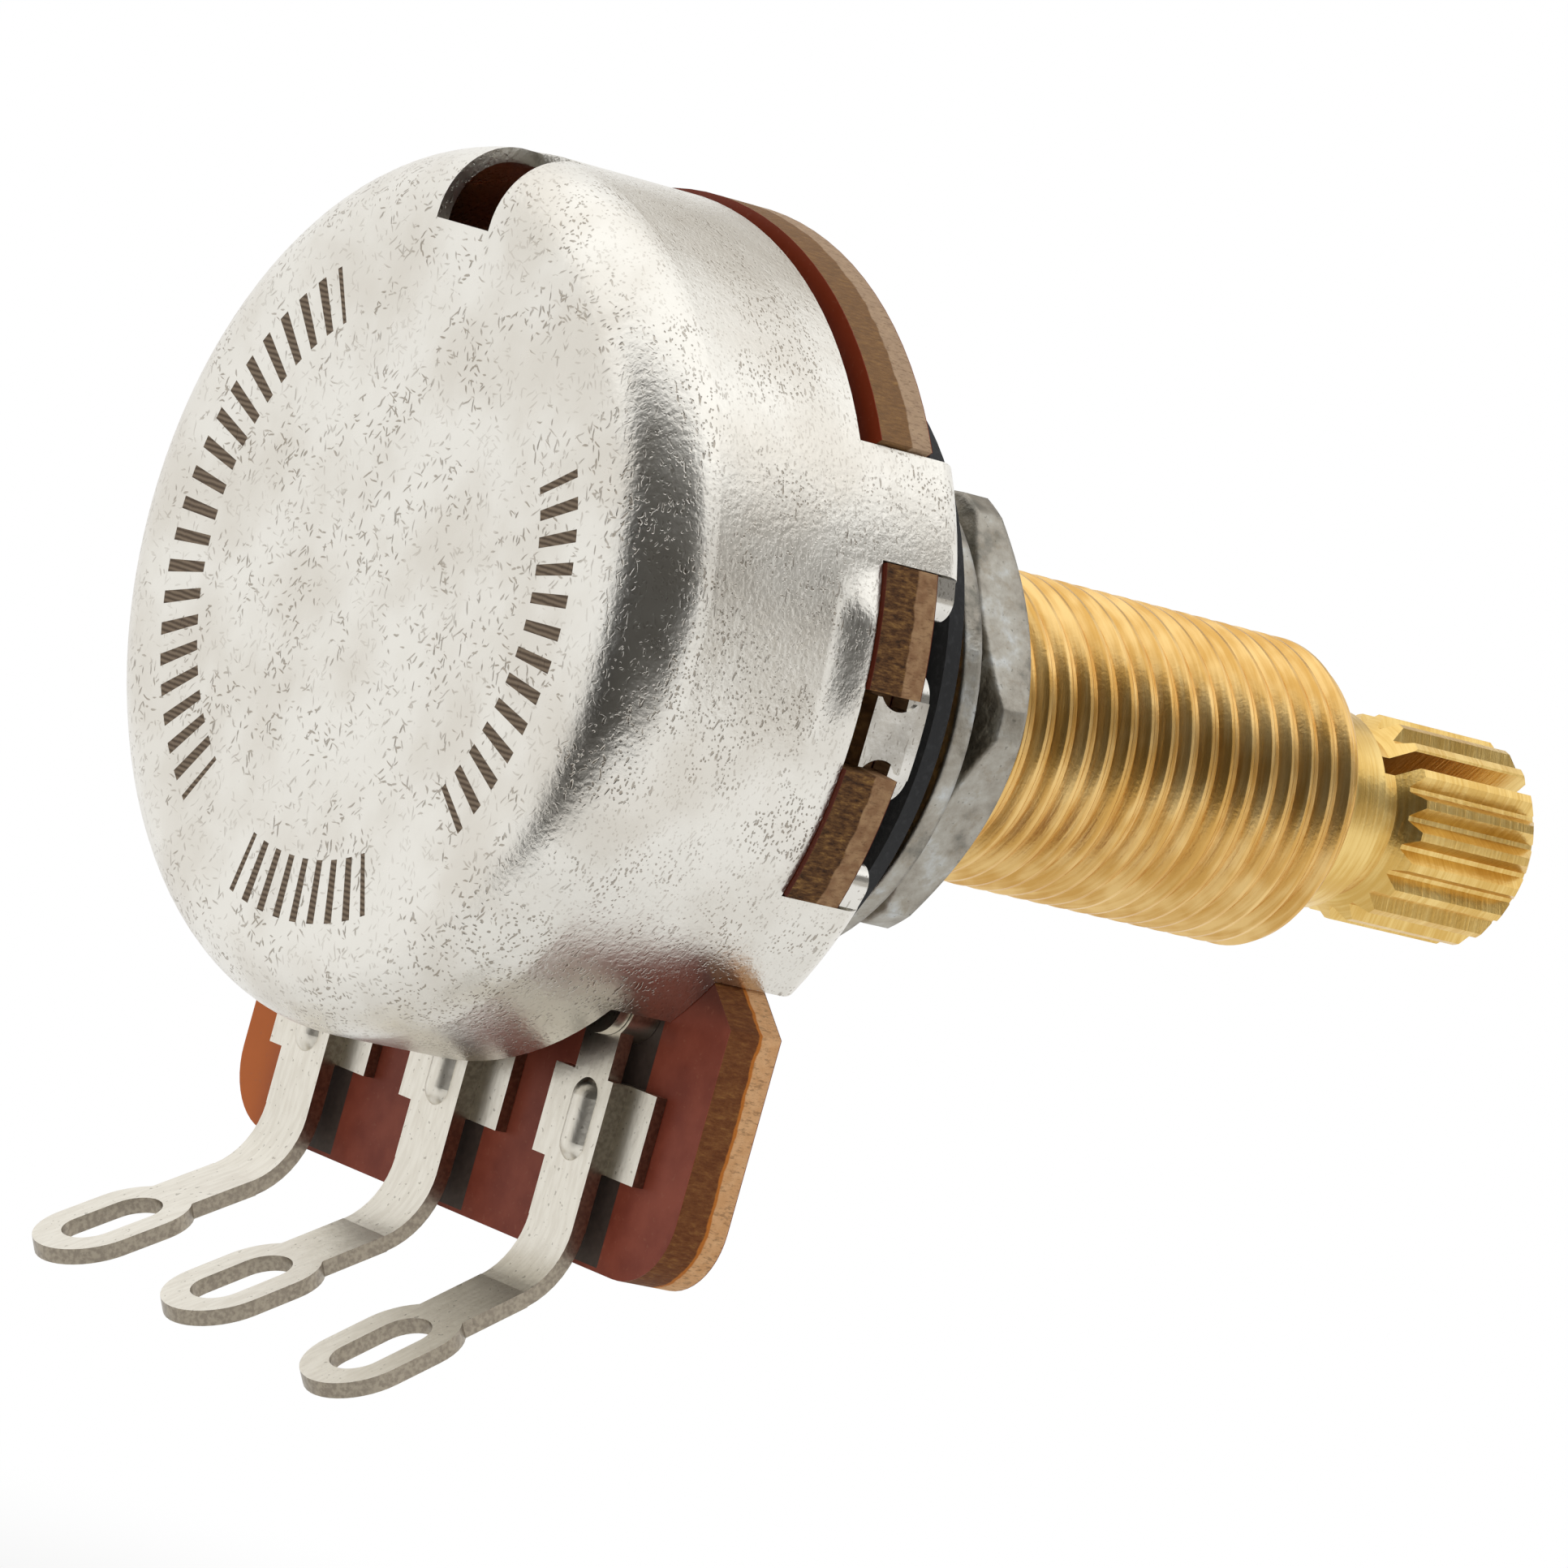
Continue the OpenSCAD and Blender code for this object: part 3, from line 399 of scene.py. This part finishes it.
def phenolic_board():
    # Paper phenolic sheet, punched: red-brown faces with a faint paper mottle, and a sheared
    # edge that shows dark torn paper at the rear and a paler smooth band at the front. Ink pads
    # lie under the terminals.
    material, add, place = start_material("phenolic_board")
    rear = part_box("wafer")[0].x / MM
    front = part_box("wafer")[1].x / MM
    split = rear + (front - rear) * TORN_SHARE
    along, side, up = add("SeparateXYZ", (place,)).node.outputs

    # the faces: mottled, with a painted glow at one side of the tongue and painted shade round
    # the rim
    mottle = add("TexNoise", {"Vector": place, "Scale": 1 / 1.6, "Detail": 4.0, "Roughness": 0.6})
    tone = add("MapRange", (mottle, 0.3, 0.7), **SOFT_STEP)
    face = add("Mix", {0: tone, 6: "#984c39", 7: "#803a2a"}, **COLOURS)
    # painted glow: an orange wash on one side of the faces, as if lit through the sheet
    glow = add("MapRange", (side, *PAINTED_GLOW_FADE), **SOFT_STEP)
    glow = add("Math", (glow, 0.8), operation="MULTIPLY")
    face = add("Mix", {0: glow, 6: face, 7: "#d8742f"}, **COLOURS)
    # painted shade: the faces darken round the rim inside the can, but not on the tongue
    rim_shade = add("MapRange", (from_axis(add, side, up), *RIM_SHADE_REACH_FADE), **SOFT_STEP)
    over_tongue = add("MapRange", (up, *RIM_SHADE_FOOT_FADE), **SOFT_STEP)
    rim_shade = add("Math", (rim_shade, over_tongue), operation="MULTIPLY")
    rim_shade = add("Math", (rim_shade, 0.85), operation="MULTIPLY")
    # colour of the painted rim shade, lighter towards the top
    rim = add("MapRange", (up, *RIM_SHADE_TONE_FADE), **SOFT_STEP)
    rim = add("Mix", {0: rim, 6: "#541d0b", 7: "#8a3518"}, **COLOURS)
    face = add("Mix", {0: rim_shade, 6: face, 7: rim}, **COLOURS)
    flecks = add("TexNoise", {"Vector": place, "Scale": 1 / 0.14})
    flecks = add("MapRange", (flecks, 0.64, 0.72), **SOFT_STEP)
    flecks = add("Math", (flecks, 0.25), operation="MULTIPLY")
    face = add("Mix", {0: flecks, 6: face, 7: "#a86a50"}, **COLOURS)

    # the torn rear part of the edge, redder on the tongue and paler on the crown
    on_tongue = add("MapRange", (up, *TONGUE_FADE), **SOFT_STEP)
    on_crown = add("MapRange", (up, *CROWN_FADE), **SOFT_STEP)
    layers = add("Mapping", {"Vector": place, "Scale": (0.5, 1.6, 1.6)})
    torn = add("TexNoise", {"Vector": layers, "Scale": 1 / 0.16, "Detail": 4.0, "Roughness": 0.7})
    dark_edge = add("ValToRGB", (torn,), [
        (0.32, "#36200f"), (0.46, "#5c3c20"), (0.58, "#7a5630"), (0.72, "#a37c44")])
    redder = add("Math", (on_tongue, 0.45), operation="MULTIPLY")
    dark_edge = add("Mix", {0: redder, 6: dark_edge, 7: "#8c4a1e"}, **COLOURS)
    paler = add("Math", (on_crown, 0.42), operation="MULTIPLY")
    dark_edge = add("Mix", {0: paler, 6: dark_edge, 7: "#b98f64"}, **COLOURS)

    # the smooth front part of the edge, tan on the tongue, with fibres in it
    smooth = add("TexNoise", {"Vector": place, "Scale": 1 / 0.3, "Detail": 3.0})
    smooth = add("MapRange", (smooth, 0.3, 0.7), **SOFT_STEP)
    pale_edge = add("Mix", {0: smooth, 6: "#966f4e", 7: "#b48f69"}, **COLOURS)
    tongue_edge = add("Mix", {0: smooth, 6: "#e4ad78", 7: "#f0bd8a"}, **COLOURS)
    paler = add("Math", (on_crown, 0.5), operation="MULTIPLY")
    pale_edge = add("Mix", {0: paler, 6: pale_edge, 7: "#e2c6a8"}, **COLOURS)
    pale_edge = add("Mix", {0: on_tongue, 6: pale_edge, 7: tongue_edge}, **COLOURS)
    fibres = add("TexNoise", {
        "Vector": layers, "Scale": 1 / 0.11, "Detail": 3.0, "Roughness": 0.6})
    fibres = add("MapRange", (fibres, 0.5, 0.7), **SOFT_STEP)
    fibres = add("Math", (fibres, 0.5), operation="MULTIPLY")
    pale_edge = add("Mix", {0: fibres, 6: pale_edge, 7: "#6b4a30"}, **COLOURS)

    # the wavering line where the two parts meet, orange on the tongue
    wobble = add("TexNoise", {"Vector": place, "Scale": 1 / 0.6})
    wobble = add("Math", (wobble, 0.24, along), operation="MULTIPLY_ADD")
    past_split = add(
        "MapRange", (wobble, split + SPLIT_FADE[0], split + SPLIT_FADE[1]), **SOFT_STEP)
    edge = add("Mix", {0: past_split, 6: dark_edge, 7: pale_edge}, **COLOURS)
    off_line = add("Math", (wobble, split + SPLIT_LINE), operation="SUBTRACT")
    off_line = add("Math", (off_line,), operation="ABSOLUTE")
    off_line = add("MapRange", (off_line, *LINE_FADE), **SOFT_STEP)
    line = add("Math", (1.0, off_line), operation="SUBTRACT")
    line = add("Math", (line, on_tongue), operation="MULTIPLY")
    edge = add("Mix", {0: line, 6: edge, 7: "#c9772c"}, **COLOURS)

    off_rear = add("Math", (along, rear + BOARD_SKIN), operation="GREATER_THAN")
    off_front = add("Math", (along, front - BOARD_SKIN), operation="LESS_THAN")
    on_edge = add("Math", (off_rear, off_front), operation="MULTIPLY")
    board = add("Mix", {0: on_edge, 6: face, 7: edge}, **COLOURS)

    ink = 0.0
    for middle, half, bottom, top in INK_PADS:
        across = add("Math", (side, middle), operation="SUBTRACT")
        across = add("Math", (across,), operation="ABSOLUTE")
        across = add("Math", (across, half), operation="LESS_THAN")
        over = add("Math", (up, bottom), operation="GREATER_THAN")
        under = add("Math", (up, top), operation="LESS_THAN")
        upright = add("Math", (over, under), operation="MULTIPLY")
        pad = add("Math", (across, upright), operation="MULTIPLY")
        ink = add("Math", (ink, pad), operation="MAXIMUM")
    on_rear = add("Math", (along, rear + BOARD_SKIN), operation="LESS_THAN")
    ink = add("Math", (ink, on_rear), operation="MULTIPLY")
    ink_tone = add("TexNoise", {"Vector": place, "Scale": 1 / 0.2, "Detail": 3.0})
    ink_tone = add("Mix", {0: ink_tone, 6: "#3a2f2a", 7: "#594c44"}, **COLOURS)

    height = add("Math", (torn, on_edge), operation="MULTIPLY")
    paper = add("Math", (mottle, 0.15), operation="MULTIPLY")
    height = add("Math", (height, paper), operation="ADD")
    surface = add("BsdfPrincipled", {
        "Base Color": add("Mix", {0: ink, 6: board, 7: ink_tone}, **COLOURS),
        "Roughness": add("Math", (on_edge, 0.25, 0.42), operation="MULTIPLY_ADD"),
        "Specular IOR Level": 0.2,
        "Normal": add("Bump", {"Height": height, "Strength": 1.0, "Distance": 0.06 * MM})})
    add("OutputMaterial", {"Surface": surface})
    return material


def turned_metal(name, light, deep, rough):
    # Turned brass: deep yellow, bright on the crests, with lathe rings round the shaft's axis.
    # The hidden wiper's bronze strip is a browner one.
    material, add, place = start_material(name)
    rings = add("Mapping", {"Vector": place, "Scale": (9.0, 0.35, 0.35)})
    lathe = add("TexNoise", {"Vector": rings, "Scale": 1.0, "Detail": 3.0, "Roughness": 0.6})
    tone = add("TexNoise", {"Vector": place, "Scale": 1 / 1.5})
    tone = add("Math", (tone, 0.5), operation="MULTIPLY")
    tone = add("Math", (lathe, 0.5, tone), operation="MULTIPLY_ADD")
    tone = add("MapRange", (tone, 0.36, 0.62), **SOFT_STEP)
    specks = add("TexNoise", {"Vector": place, "Scale": 1 / 0.12})
    specks = add("Math", (specks, 0.5), operation="MULTIPLY")
    height = add("Math", (lathe, specks), operation="ADD")
    surface = add("BsdfPrincipled", {
        "Base Color": add("Mix", {0: tone, 6: light, 7: deep}, **COLOURS),
        "Metallic": 1.0,
        "Roughness": rough,
        "Normal": add("Bump", {"Height": height, "Strength": 1.0, "Distance": 0.012 * MM})})
    add("OutputMaterial", {"Surface": surface})
    return material


def zinc_plated_steel():
    # Zinc-plated nut and washer: mid grey with brownish clouds, fine pits, a dull shine and
    # edges rounded by tumbling.
    material, add, place = start_material("zinc_plated_steel")
    cloud = add("TexNoise", {
        "Vector": place, "Scale": 1 / 1.3, "Detail": 5.0, "Roughness": 0.62})
    metal = add("ValToRGB", (cloud,), [
        (0.34, "#7a776e"), (0.46, "#9e988d"), (0.56, "#aca89e"), (0.68, "#bfc1bf")])
    stain = add("TexNoise", {"Vector": place, "Scale": 1 / 0.5, "Detail": 4.0, "Roughness": 0.7})
    stain = add("MapRange", (stain, 0.52, 0.66), **SOFT_STEP)
    stain = add("Math", (stain, 0.35), operation="MULTIPLY")
    metal = add("Mix", {0: stain, 6: metal, 7: "#8b7f6c"}, **COLOURS)
    pits = add("TexNoise", {"Vector": place, "Scale": 1 / 0.15})
    pits = add("MapRange", (pits, 0.66, 0.74), **SOFT_STEP)
    pits = add("Math", (pits, 0.5), operation="MULTIPLY")
    surface = add("BsdfPrincipled", {
        "Base Color": add("Mix", {0: pits, 6: metal, 7: "#55544b"}, **COLOURS),
        "Metallic": 1.0,
        "Roughness": 0.34,
        "Normal": add("Bump", {
            "Height": add("TexNoise", {"Vector": place, "Scale": 1 / 0.3, "Detail": 4.0}),
            "Strength": 1.0,
            "Distance": 0.03 * MM,
            "Normal": add("Bevel", {"Radius": 0.22 * MM}, samples=6)})})
    add("OutputMaterial", {"Surface": surface})
    return material


def dusty_matte(name, ground, dust, spots, relief, finish):
    # A dull non-metal with fine paler spots. spots has their size, detail, the noise at which
    # they start and end, and their strength. relief has the size, detail and depth of its grain.
    material, add, place = start_material(name)
    size, detail, start, end, strength = spots
    dusty = add("TexNoise", {"Vector": place, "Scale": 1 / size, "Detail": detail})
    dusty = add("MapRange", (dusty, start, end), **SOFT_STEP)
    dusty = add("Math", (dusty, strength), operation="MULTIPLY")
    size, detail, depth = relief
    height = add("TexNoise", {"Vector": place, "Scale": 1 / size, "Detail": detail})
    surface = add("BsdfPrincipled", {
        "Base Color": add("Mix", {0: dusty, 6: ground, 7: dust}, **COLOURS),
        "Normal": add("Bump", {"Height": height, "Strength": 1.0, "Distance": depth * MM}),
        **finish})
    add("OutputMaterial", {"Surface": surface})
    return material


def give(material, *nodes):
    """Puts a material on CAD nodes."""
    for name in nodes:
        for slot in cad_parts[name].material_slots:
            slot.material = material


# New pieces: the threaded bushing and the mounting plate's shoulders


def select_rims(part, x=None):
    """Selects the open edges, all of them or those that lie at a place along X."""
    bpy.ops.mesh.select_mode(type="EDGE")
    bpy.ops.mesh.select_all(action="DESELECT")
    mesh = bmesh.from_edit_mesh(part.data)
    for edge in mesh.edges:
        at_place = x is None or all(abs(v.co.x - x * MM) < TUBE_WELD for v in edge.verts)
        if edge.is_boundary and at_place:
            edge.select = True
    bmesh.update_edit_mesh(part.data)


def turn_on(part, steps):
    """From the selected rim, turns the wall on through each place along X and radius."""
    for x, radius in steps:
        bpy.ops.mesh.extrude_region_move()
        mesh = bmesh.from_edit_mesh(part.data)
        for vertex in mesh.verts:
            if vertex.select:
                reach = math.hypot(vertex.co.y, vertex.co.z)
                vertex.co = (x * MM, vertex.co.y * radius * MM / reach,
                             vertex.co.z * radius * MM / reach)
        bmesh.update_edit_mesh(part.data)


def cut_bushing_thread():
    """The brass bushing with its real helical thread, flange and bore."""
    low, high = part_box("threaded_bushing")
    rear, tip = low.x / MM, high.x / MM
    flange_front = rear + FLANGE_T
    flange_r = high.z / MM
    root = THREAD_CREST - THREAD_DEPTH
    start = flange_front - 2 * THREAD_PITCH + THREAD_PHASE

    # one pitch of the thread's outline, drawn by extruding a single point along X
    bpy.ops.mesh.primitive_plane_add(size=MM, location=(start * MM, 0, root * MM))
    part = bpy.context.object
    part.name = "bushing_thread"
    bpy.ops.object.mode_set(mode="EDIT")
    bpy.ops.mesh.merge(type="CENTER")
    for share, height in THREAD_OUTLINE:
        bpy.ops.mesh.extrude_region_move(TRANSFORM_OT_translate={
            "value": (share * THREAD_PITCH * MM, 0, height * THREAD_DEPTH * MM)})
    bpy.ops.object.mode_set(mode="OBJECT")
    bpy.ops.object.transform_apply(location=True, rotation=True, scale=True)
    screw = part.modifiers.new("thread", "SCREW")
    screw.axis = "X"
    screw.screw_offset = THREAD_PITCH * MM
    screw.iterations = int((tip - start) / THREAD_PITCH) + 1
    screw.steps = screw.render_steps = THREAD_STEPS
    screw.use_merge_vertices = True
    screw.merge_threshold = SWEEP_WELD
    bpy.ops.object.modifier_apply(modifier=screw.name)

    # cut to length, chamfer the front end, then turn the face, the bore and the flange
    bpy.ops.object.mode_set(mode="EDIT")
    bpy.ops.mesh.select_all(action="SELECT")
    bpy.ops.mesh.remove_doubles(threshold=TUBE_WELD)
    for x, keep in ((flange_front, 1), (tip, -1)):
        bpy.ops.mesh.select_all(action="SELECT")
        bpy.ops.mesh.bisect(plane_co=(x * MM, 0, 0), plane_no=(1, 0, 0),
                            clear_inner=keep > 0, clear_outer=keep < 0, threshold=SWEEP_WELD)
    mesh = bmesh.from_edit_mesh(part.data)
    for vertex in mesh.verts:
        past = max(0.0, vertex.co.x / MM - (tip - FRONT_CHAMFER))
        allowed = (THREAD_CREST - past) * MM
        reach = math.hypot(vertex.co.y, vertex.co.z)
        if reach > allowed:
            vertex.co.y *= allowed / reach
            vertex.co.z *= allowed / reach
    bmesh.update_edit_mesh(part.data)
    select_rims(part, tip)
    turn_on(part, [(tip, BORE_R + MOUTH_CHAMFER), (tip - MOUTH_CHAMFER, BORE_R), (rear, BORE_R)])
    select_rims(part, flange_front)
    turn_on(part, [(flange_front, flange_r), (rear, flange_r), (rear, CLOSING_R)])
    bpy.ops.mesh.select_all(action="SELECT")
    bpy.ops.mesh.remove_doubles(threshold=CLOSING_WELD)
    select_rims(part)
    bpy.ops.mesh.bridge_edge_loops()
    bpy.ops.mesh.select_all(action="SELECT")
    bpy.ops.mesh.normals_make_consistent(inside=False)
    bpy.ops.object.mode_set(mode="OBJECT")
    bpy.ops.object.shade_smooth_by_angle(angle=math.radians(BUSHING_SMOOTH))
    return part


def bend_shoulder(beside, free):
    """One shoulder of the mounting plate, from beside a tab of the can to its free end."""
    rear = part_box("wafer")[1].x / MM + SHOULDER_GAP
    middle = math.radians((beside + free) / 2)
    half = math.radians(abs(free - beside) / 2) * SHOULDER_OUT
    bpy.ops.mesh.primitive_cube_add(size=MM)
    part = bpy.context.object
    part.name = "plate_shoulder"
    part.scale = (SHOULDER_T, SHOULDER_OUT - SHOULDER_IN, 2 * half)
    bpy.ops.object.transform_apply(location=True, rotation=True, scale=True)

    # round the outer corner at the free end
    bpy.ops.object.mode_set(mode="EDIT")
    bpy.ops.mesh.select_mode(type="EDGE")
    bpy.ops.mesh.select_all(action="DESELECT")
    mesh = bmesh.from_edit_mesh(part.data)
    outward = 1 if free > beside else -1
    for edge in mesh.edges:
        edge.select = all(v.co.y > 0 and v.co.z * outward > 0 for v in edge.verts)
    bmesh.update_edit_mesh(part.data)
    bpy.ops.mesh.bevel(offset=SHOULDER_ROUND * MM, segments=8, affect="EDGES")
    bpy.ops.mesh.select_all(action="SELECT")
    bpy.ops.mesh.normals_make_consistent(inside=False)
    bpy.ops.object.mode_set(mode="OBJECT")

    # carry it out to its place beside the tab
    part.rotation_euler = (middle, 0, 0)
    reach = (SHOULDER_IN + SHOULDER_OUT) / 2
    part.location = MM * Vector((
        rear + SHOULDER_T / 2, reach * math.cos(middle), reach * math.sin(middle)))
    bpy.ops.object.transform_apply(location=True, rotation=True, scale=True)
    bpy.ops.object.shade_smooth_by_angle(angle=math.radians(SHOULDER_SMOOTH))
    return part


bpy.ops.object.select_all(action="DESELECT")
bushing = cut_bushing_thread()
bushing.data.materials.append(turned_metal("threaded_brass", "#f2cd88", "#d8a95c", 0.33))
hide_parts("threaded_bushing")
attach(bushing, "housing")

give(satin_plated_steel(), "rear_cover")
plate_steel = bright_plated_steel()
give(plate_steel, "mounting_plate", "thrust_washer")
for beside, free in SHOULDER_ENDS:
    bpy.ops.object.select_all(action="DESELECT")
    shoulder = bend_shoulder(beside, free)
    shoulder.data.materials.append(plate_steel)
    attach(shoulder, "housing")
give(silvered_terminal(), "terminal_left", "terminal_middle", "terminal_right", "terminal_rivets",
     "collector_ring")
give(phenolic_board(), "wafer")
# Printed carbon track: matte black with a slight sparkle of graphite.
give(dusty_matte(
    "carbon_ink", "#17181a", "#55585c", (0.08, 1.0, 0.66, 0.72, 0.3), (0.1, 1.0, 0.004),
    {"Roughness": 0.55}), "resistive_track")
give(turned_metal("shaft_brass", "#f0d086", "#dab262", 0.30), "splined_shaft")
give(turned_metal("spring_bronze", "#c98f55", "#a8703a", 0.25), "wiper")
# Moulded phenolic rotor: dark red-brown, slightly glossy with faint filler specks.
give(dusty_matte(
    "dark_phenolic_moulding", "#4a1f16", "#6d3324", (0.2, 2.0, 0.6, 0.7, 0.5), (0.3, 2.0, 0.01),
    {"Roughness": 0.45}), "rotor")
# Vulcanised black fibre washer: near-black, dull, with a dusty paper grain.
give(dusty_matte(
    "black_fibre", "#1c1d1f", "#3f4042", (0.18, 3.0, 0.5, 0.72, 0.35), (0.25, 3.0, 0.02),
    {"Roughness": 0.62, "Specular IOR Level": 0.4}), "sealing_washer")
give(zinc_plated_steel(), "hex_nut", "flat_washer")


# Studio: floor, world, lamps, cards for the metal to mirror, and the camera


def seen_rays(add):
    """1 for rays that show or mirror the background, 0 for those that light matte surfaces."""
    path = add("LightPath", out="Is Camera Ray").node.outputs
    mirrored = add("Math", (path["Is Glossy Ray"], path["Is Transmission Ray"]),
                   operation="MAXIMUM")
    return add("Math", (path["Is Camera Ray"], mirrored), operation="MAXIMUM")


def lay_floor():
    """A pale floor under the part that fades to plain white away from it."""
    bpy.ops.mesh.primitive_plane_add(size=FLOOR_SIZE, location=(0, 0, FLOOR_HEIGHT))
    floor = bpy.context.object
    floor.name = "floor"
    material = bpy.data.materials.new("studio_floor")
    add = start_nodes(material)
    away = add("VectorMath", (add("TexCoord", out="Object"),), out="Value", operation="LENGTH")
    away = add("MapRange", (away, *FLOOR_FADE), **SOFT_STEP)
    fade = add("Math", (away, 0.35, 0.65), operation="MULTIPLY_ADD")
    share = add("Math", (seen_rays(add), fade), operation="MULTIPLY")
    matte = add("BsdfDiffuse", {"Color": "#f4f4f2"})
    white = add("Emission", {"Color": "#ffffff", "Strength": 1.0})
    add("OutputMaterial", {"Surface": add("MixShader", (share, matte, white))})
    floor.data.materials.append(material)


def light_world():
    """White world for the camera and for reflections, a plain level for matte surfaces."""
    world = bpy.data.worlds.new("studio_world")
    bpy.context.scene.world = world
    add = start_nodes(world)
    strength = add("Math", (seen_rays(add), 0.45, 0.55), operation="MULTIPLY_ADD")
    back = add("Background", {"Color": "#ffffff", "Strength": strength})
    add("OutputWorld", {"Surface": back})


def hang_lamp(name, place, size, power):
    """A soft rectangular lamp that looks at the part."""
    bpy.ops.object.light_add(type="AREA", location=place)
    lamp = bpy.context.object
    lamp.name = name
    lamp.data.shape = "RECTANGLE"
    lamp.data.size, lamp.data.size_y = size
    lamp.data.energy = power
    aim = Vector(LAMP_AIM) - Vector(place)
    lamp.rotation_euler = aim.to_track_quat("-Z", "Y").to_euler()


def hang_card(name, distance, strength, corners):
    """A dim warm card that only reflections see."""
    bpy.ops.mesh.primitive_circle_add(vertices=len(corners), radius=distance, fill_type="NGON")
    card = bpy.context.object
    card.name = name
    for vertex, (azimuth, elevation) in zip(card.data.vertices, corners):
        turn, rise = math.radians(azimuth), math.radians(elevation)
        vertex.co = distance * Vector((
            math.cos(turn) * math.cos(rise), math.sin(turn) * math.cos(rise), math.sin(rise)))
    material = bpy.data.materials.new(name + "_paper")
    add = start_nodes(material)
    glow = add("Emission", {"Color": "#fff9f0", "Strength": strength})
    add("OutputMaterial", {"Surface": glow})
    card.data.materials.append(material)
    card.visible_camera = False
    card.visible_diffuse = False
    card.visible_shadow = False


lay_floor()
light_world()
for lamp in LAMPS:
    hang_lamp(*lamp)
for card in CARDS:
    hang_card(*card)

bpy.ops.object.camera_add(
    location=CAMERA_PLACE, rotation=[math.radians(angle) for angle in CAMERA_TURN])
camera = bpy.context.object
camera.data.sensor_width = 36.0
camera.data.lens = CAMERA_LENS
camera.data.clip_start = 0.01
camera.data.clip_end = 20.0
bpy.context.scene.camera = camera
bpy.context.scene.view_settings.view_transform = "Standard"
